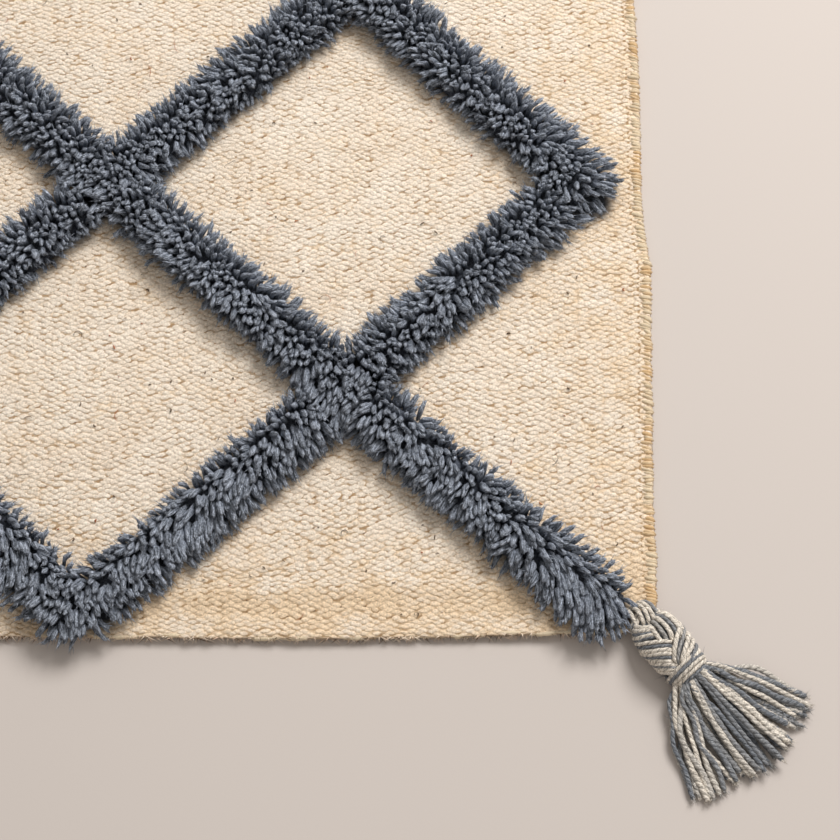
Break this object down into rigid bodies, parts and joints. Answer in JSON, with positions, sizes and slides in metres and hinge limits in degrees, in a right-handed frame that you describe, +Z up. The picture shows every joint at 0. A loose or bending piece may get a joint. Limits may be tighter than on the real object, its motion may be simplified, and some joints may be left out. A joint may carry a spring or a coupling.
{
  "type": "kilim rug",
  "caption": "Flat-woven cream wool kilim lying flat, with a raised blue-grey shag lattice and a plaited two-colour tassel at each corner.",
  "frame": {"origin": "middle of the rug on the floor, under its underside", "axes": "+Y along the rug, away from the end that the picture shows, +X across it, +Z up through the pile"},
  "size_m": [0.8783, 1.3913, 0.027],
  "materials": {
    "cream_wool": "matt hand-spun wool, weft-faced plain weave",
    "blue_wool": "matt cut wool pile",
    "tassel_yarn": "two-ply wool yarn in cream and heathered blue-grey"
  },
  "bodies": {
    "root": {"kilim_ground": "cream_wool", "shag_band_1": "blue_wool", "shag_band_2": "blue_wool", "shag_band_3": "blue_wool", "shag_band_4": "blue_wool", "shag_band_5": "blue_wool", "shag_cross_1": "blue_wool", "shag_cross_2": "blue_wool", "shag_cross_3": "blue_wool", "shag_cross_4": "blue_wool", "shag_cross_5": "blue_wool", "shag_cross_6": "blue_wool", "shag_cross_7": "blue_wool", "shag_cross_8": "blue_wool", "shag_cross_9": "blue_wool", "shag_cross_10": "blue_wool", "shag_cross_11": "blue_wool", "shag_cross_12": "blue_wool", "shag_cross_13": "blue_wool", "shag_cross_14": "blue_wool", "shag_cross_15": "blue_wool", "shag_cross_16": "blue_wool", "tassel_front_right": "tassel_yarn", "tassel_front_left": "tassel_yarn", "tassel_back_right": "tassel_yarn", "tassel_back_left": "tassel_yarn"}
  },
  "joints": []
}
